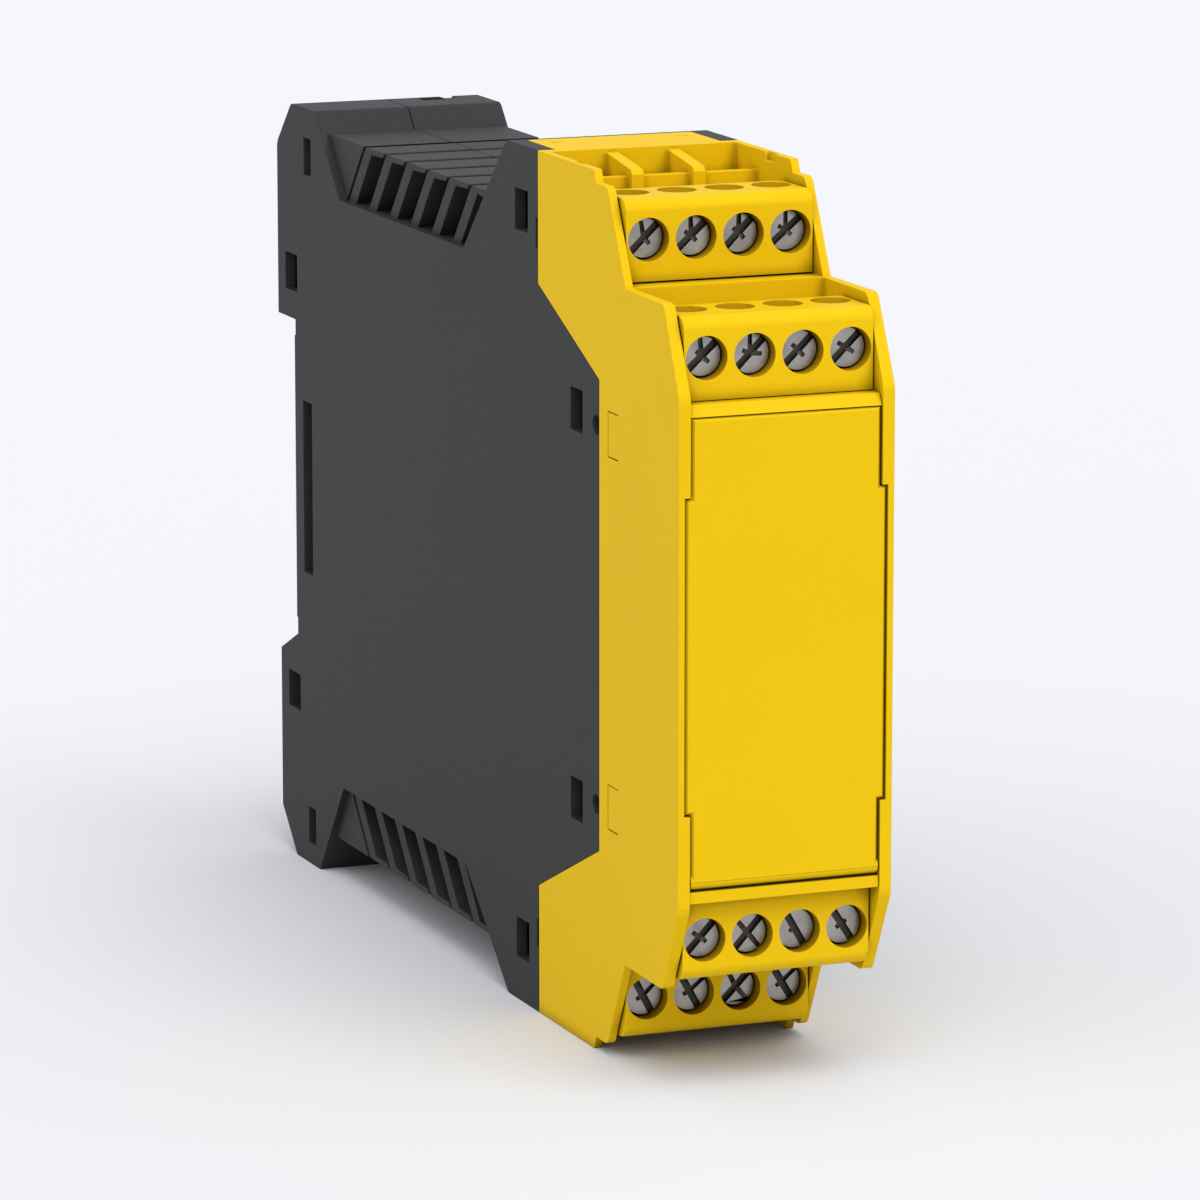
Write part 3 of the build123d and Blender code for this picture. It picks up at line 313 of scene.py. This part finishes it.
def edgesAcross(shape, places):
    # Edges that run straight across the module at the given places, each a pair of Y and Z in millimetres
    found = []
    for line in shape.edges:
        start, end = [corner.co / mm for corner in line.verts]
        across = (abs(start.x - end.x) > closeness["shortestEdge"]
                  and abs(start.y - end.y) < closeness["straight"]
                  and abs(start.z - end.z) < closeness["straight"])
        if across and any(abs(start.y - y) < closeness["place"] and abs(start.z - z) < closeness["place"]
                          for y, z in places):
            found.append(line)
    return found


def roundAcross(shape, places, radius, segments):
    bmesh.ops.bevel(shape, geom=edgesAcross(shape, places), offset=radius * mm, offset_type="OFFSET",
                    segments=segments, profile=0.5, affect="EDGES", clamp_overlap=True, material=-1)


def breakEdges(piece, edge):
    # Every moulded or turned edge is broken, and the wide faces beside it keep their even shading
    bevel = piece.modifiers.new("brokenEdges", "BEVEL")
    bevel.width = edge["radiusMm"] * mm
    bevel.segments = edge["segments"]
    bevel.limit_method = "ANGLE"
    bevel.angle_limit = math.radians(edge["sharpDegrees"])
    bevel.use_clamp_overlap = True
    even = piece.modifiers.new("evenShading", "WEIGHTED_NORMAL")
    even.mode = "FACE_AREA"
    even.weight = 100


def roundedCopy(node, edge, refine=None):
    # The CAD shape with its edges broken. What differs on a piece is set by its own refine function
    shape = bmesh.new()
    shape.from_mesh(frame["nodes"][node].data)
    bmesh.ops.remove_doubles(shape, verts=shape.verts[:], dist=edge["mergeMm"] * mm)
    bmesh.ops.dissolve_limit(shape, angle_limit=math.radians(edge["flatDegrees"]), verts=shape.verts[:],
                             edges=shape.edges[:], use_dissolve_boundaries=False, delimit={"NORMAL"})
    if refine:
        refine(shape, node)
    for face in shape.faces:
        face.smooth = True
    piece = newPiece(node + "_moulded", shape)
    piece.data.materials.append(materials[nodeSlots[node]])
    breakEdges(piece, edge)
    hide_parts(node)
    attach(piece, nodeBodies[node])
    return piece


shellEdge = {"mergeMm": 0.002, "flatDegrees": 0.5, "radiusMm": 0.22, "segments": 2, "sharpDegrees": 28}
housingEdge = dict(shellEdge, radiusMm=0.18)
plugEdge = dict(shellEdge, radiusMm=0.12)
coverEdge = dict(shellEdge, radiusMm=0.15)

# Vent ribs have thin heads: the underside of each head rises and its stem follows its own lean. In
# millimetres: how far each rib's rear edge lies behind the origin, and the heights above and below
ventHeads = {
    "firstRear": 0.1, "pitch": 6.4, "count": 6, "stemSetback": 0.985, "tipSetback": 5.2,
    "stemHeights": (80.9, 5.9), "tipHeights": (81.4, 5.4), "stemRise": 0.85, "stemLean": 0.745,
    "tipRise": 0.45, "topHeights": (82.4, 4.4), "headLength": 5.7, "radius": 0.42, "segments": 4,
}
ventRears = [ventHeads["firstRear"] + ventHeads["pitch"] * rib for rib in range(ventHeads["count"])]
# Corners of the grey side outline that the mould rounds
shellCorners = {"places": ((54.2, 84.6), (59.0, 79.8), (46.5, 84.6), (-12.0, 88.6), (-12.0, 0.0)),
                "radius": 0.5, "segments": 3}


def nearRib(place, setback):
    return any(abs(place.y - rear + setback) < closeness["corner"] for rear in ventRears)


def thinVentHeads(shape, node):
    for corner in shape.verts:
        place = corner.co / mm
        for above, way in ((0, 1), (1, -1)):
            stemOff = abs(place.z - ventHeads["stemHeights"][above])
            tipOff = abs(place.z - ventHeads["tipHeights"][above])
            if stemOff < closeness["place"] and nearRib(place, ventHeads["stemSetback"]):
                corner.co += Vector((0, -ventHeads["stemLean"], way * ventHeads["stemRise"])) * mm
            elif tipOff < closeness["place"] and nearRib(place, ventHeads["tipSetback"]):
                corner.co.z += way * ventHeads["tipRise"] * mm
    tops = [(rear - back, height) for rear in ventRears for back in (0, ventHeads["headLength"])
            for height in ventHeads["topHeights"]]
    roundAcross(shape, tops, ventHeads["radius"], ventHeads["segments"])
    roundAcross(shape, shellCorners["places"], shellCorners["radius"], shellCorners["segments"])


# Corners of the housing's side outline that the mould rounds
housingCorners = {
    "places": ((-59.0, 69.4), (-54.9, 78.0), (-39.6, 87.3), (-59.0, 19.2), (-54.9, 10.6), (-39.6, 1.3)),
    "radius": 0.6, "segments": 3,
}


def roundHousing(shape, node):
    roundAcross(shape, housingCorners["places"], housingCorners["radius"], housingCorners["segments"])


# The strip above the cover leans back a little and catches the light
stripLean = {"place": (-58.8, 68.7), "back": 0.6}


def leanStrip(shape, node):
    for corner in shape.verts:
        place = corner.co / mm
        if math.dist((place.y, place.z), stripLean["place"]) < closeness["corner"]:
            corner.co.y += stripLean["back"] * mm


# Plugs: a soft upper front edge in place of the straight bevel, and wire funnels to their full depth
plugTop = {
    "bevel": 0.8, "radius": 0.45, "segments": 4, "funnelFloor": 1.0, "funnelExtra": 0.85, "poles": 4,
    "pitch": 5.0, "axisBelowTop": 4.0, "wellRadius": 2.2, "wellDepth": 2.6, "funnelSetback": 5.0,
    "funnelRadius": 2.1, "funnelWall": 1.95, "rim": 0.05, "moduleMiddle": 44.0,
}


def softenPlug(shape, node):
    low, high = [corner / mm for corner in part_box(node)]
    way = 1 if low.z > plugTop["moduleMiddle"] else -1
    top = high.z if way == 1 else low.z
    funnelFloor = top - way * plugTop["funnelFloor"]
    for corner in shape.verts:
        if abs(corner.co.z / mm - funnelFloor) < closeness["place"]:
            corner.co.z -= way * plugTop["funnelExtra"] * mm
    places = ((low.y, top - way * plugTop["bevel"]), (low.y + plugTop["bevel"], top))
    roundAcross(shape, places, plugTop["radius"], plugTop["segments"])
    # The walls of the screw wells and wire funnels take a darker yellow: painted shade
    axis = top - way * plugTop["axisBelowTop"]
    poleAxes = [(pole - (plugTop["poles"] - 1) / 2) * plugTop["pitch"] for pole in range(plugTop["poles"])]
    for face in shape.faces:
        middle = face.calc_center_median() / mm
        across = min(abs(middle.x - poleAxis) for poleAxis in poleAxes)
        behindFront = middle.y - low.y
        belowTop = (top - middle.z) * way
        inWell = (math.hypot(across, middle.z - axis) < plugTop["wellRadius"]
                  and plugTop["rim"] < behindFront < plugTop["wellDepth"])
        inFunnel = (math.hypot(across, behindFront - plugTop["funnelSetback"]) < plugTop["funnelRadius"]
                    and plugTop["rim"] < belowTop < plugTop["funnelWall"])
        face.material_index = int(inWell or inFunnel)


for node in ("left_shell", "right_shell"):
    roundedCopy(node, shellEdge, thinVentHeads)
roundedCopy("front_housing", housingEdge, roundHousing)
roundedCopy("cover_frame", housingEdge, leanStrip)
for node in ("front_cover", "rail_foot"):
    roundedCopy(node, coverEdge)
for number in range(1, 5):
    plug = roundedCopy(f"plug_{number}", plugEdge, softenPlug)
    plug.data.materials.append(wellPaintedShade)
print("edges broken")

# The foot's strip spring stands on the module's peg: a copy of its mesh with its place baked in
spring = bpy.data.objects.new("foot_spring_folding", frame["nodes"]["foot_spring"].data.copy())
bpy.context.scene.collection.objects.link(spring)
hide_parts("foot_spring")
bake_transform(spring)
print("spring set")

# Terminal screws: a straight slot crossed by the worn arms of a cross recess. Each screw has its slot's
# angle in degrees seen from the front, then its arms: angle, length in millimetres, depth at the outer end
screwShape = {
    "slotWidth": 0.75, "slotDepth": 0.7, "headThickness": 1.1, "shankRadius": 1.2, "sides": 56,
    "shankSides": 24, "armWidth": 0.52, "armEndWidth": 0.42, "armDepth": 0.62, "armStart": 0.05,
    "cutAbove": 0.3, "rimMm": 0.03, "edge": {"radiusMm": 0.06, "segments": 2, "sharpDegrees": 35},
}
screwRecesses = {
    "screw_1_1": (44, [(100, 1.7, 0.08), (-46, 0.85, 0.35)]),
    "screw_1_2": (42, [(92, 2.1, 0.5), (-48, 0.8, 0.4), (150, 0.8, 0.4)]),
    "screw_1_3": (45, [(88, 2.1, 0.5), (-45, 0.85, 0.4), (140, 0.75, 0.3)]),
    "screw_1_4": (40, [(90, 2.1, 0.5), (-40, 0.8, 0.25), (150, 0.9, 0.3)]),
    "screw_2_1": (42, [(95, 1.9, 0.15), (-42, 1.0, 0.3), (140, 0.75, 0.3)]),
    "screw_2_2": (45, [(90, 2.1, 0.62), (-6, 1.25, 0.4), (160, 0.85, 0.4)]),
    "screw_2_3": (44, [(136, 0.85, 0.4), (-44, 0.9, 0.4)]),
    "screw_2_4": (44, [(150, 0.95, 0.35), (-34, 1.05, 0.25)]),
    "screw_3_1": (46, [(146, 0.95, 0.35), (-38, 0.85, 0.4)]),
    "screw_3_2": (48, [(130, 2.1, 0.55), (-50, 2.1, 0.5)]),
    "screw_3_3": (120, [(205, 0.65, 0.3)]),
    "screw_3_4": (123, [(212, 0.7, 0.3), (32, 0.6, 0.3)]),
    "screw_4_1": (118, [(42, 2.1, 0.6), (208, 0.8, 0.35)]),
    "screw_4_2": (119, [(38, 2.1, 0.55), (206, 0.75, 0.35)]),
    "screw_4_3": (45, [(118, 2.1, 0.5), (-50, 1.9, 0.1)]),
    "screw_4_4": (121, [(40, 2.1, 0.5), (214, 0.75, 0.35)]),
}


def cylinderInto(shape, front, back, radius, sides):
    turn = Matrix.Rotation(math.radians(90), 4, "X")
    bmesh.ops.create_cone(shape, cap_ends=True, segments=sides, radius1=radius, radius2=radius,
                          depth=back - front, matrix=Matrix.Translation((0, (front + back) / 2, 0)) @ turn)


def wedgeInto(shape, degrees, lengths, widths, depths):
    # A straight-sided recess along one direction of the head, with a sloping floor
    angle = math.radians(degrees)
    way = Vector((math.cos(angle), 0, math.sin(angle)))
    side = Vector((-math.sin(angle), 0, math.cos(angle)))
    corners = []
    for along, width, depth in zip(lengths, widths, depths):
        for half in (-width / 2, width / 2):
            for level in (-screwShape["cutAbove"], depth):
                corners.append(shape.verts.new(way * along + side * half + Vector((0, level, 0))))
    for ring in ((0, 1, 3, 2), (4, 6, 7, 5), (0, 4, 5, 1), (2, 3, 7, 6), (0, 2, 6, 4), (1, 5, 7, 3)):
        shape.faces.new([corners[index] for index in ring])


def toolPiece(shape):
    bmesh.ops.recalc_face_normals(shape, faces=shape.faces[:])
    return newPiece("tool", shape)


def recessedScrew(node, turn, arms):
    # Modelled in millimetres round its own axis, then set in place
    low, high = [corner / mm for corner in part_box(node)]
    radius = (high.x - low.x) / 2
    headBack = screwShape["headThickness"]
    solid = bmesh.new()
    cylinderInto(solid, 0, headBack, radius, screwShape["sides"])
    head = toolPiece(solid)
    cut = bmesh.new()
    wedgeInto(cut, turn, (-2 * radius, 2 * radius), [screwShape["slotWidth"]] * 2,
              [screwShape["slotDepth"]] * 2)
    tools = [toolPiece(cut)]
    for degrees, length, endDepth in arms:
        cut = bmesh.new()
        wedgeInto(cut, degrees, (screwShape["armStart"], length),
                  (screwShape["armWidth"], screwShape["armEndWidth"]), (screwShape["armDepth"], endDepth))
        tools.append(toolPiece(cut))
    for tool in tools:
        carve = head.modifiers.new("recess", "BOOLEAN")
        carve.object = tool
        carve.operation = "DIFFERENCE"
        carve.solver = "EXACT"
    carved = bpy.data.meshes.new_from_object(head.evaluated_get(bpy.context.evaluated_depsgraph_get()))
    for spent in tools + [head]:
        bpy.data.objects.remove(spent)
    shape = bmesh.new()
    shape.from_mesh(carved)
    # Faces sunk inside the slot and cross recess take the darker metal: painted shade
    for face in shape.faces:
        middle = face.calc_center_median()
        inside = math.hypot(middle.x, middle.z) < radius - screwShape["rimMm"]
        sunk = screwShape["rimMm"] < middle.y < headBack - screwShape["rimMm"]
        face.material_index = int(inside and sunk)
    cylinderInto(shape, headBack, high.y - low.y, screwShape["shankRadius"], screwShape["shankSides"])
    for face in shape.faces:
        face.smooth = True
    bmesh.ops.scale(shape, vec=(mm, mm, mm), verts=shape.verts[:])
    place = Vector(((low.x + high.x) / 2, low.y, (low.z + high.z) / 2)) * mm
    bmesh.ops.translate(shape, vec=place, verts=shape.verts[:])
    screw = newPiece(node + "_turned", shape)
    screw.data.materials.append(materials[nodeSlots[node]])
    screw.data.materials.append(recessPaintedShade)
    breakEdges(screw, screwShape["edge"])
    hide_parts(node)
    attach(screw, nodeBodies[node])
    return screw


for node, (turn, arms) in screwRecesses.items():
    recessedScrew(node, turn, arms)
print("screws turned")

bpy.context.scene.view_settings.view_transform = "Standard"
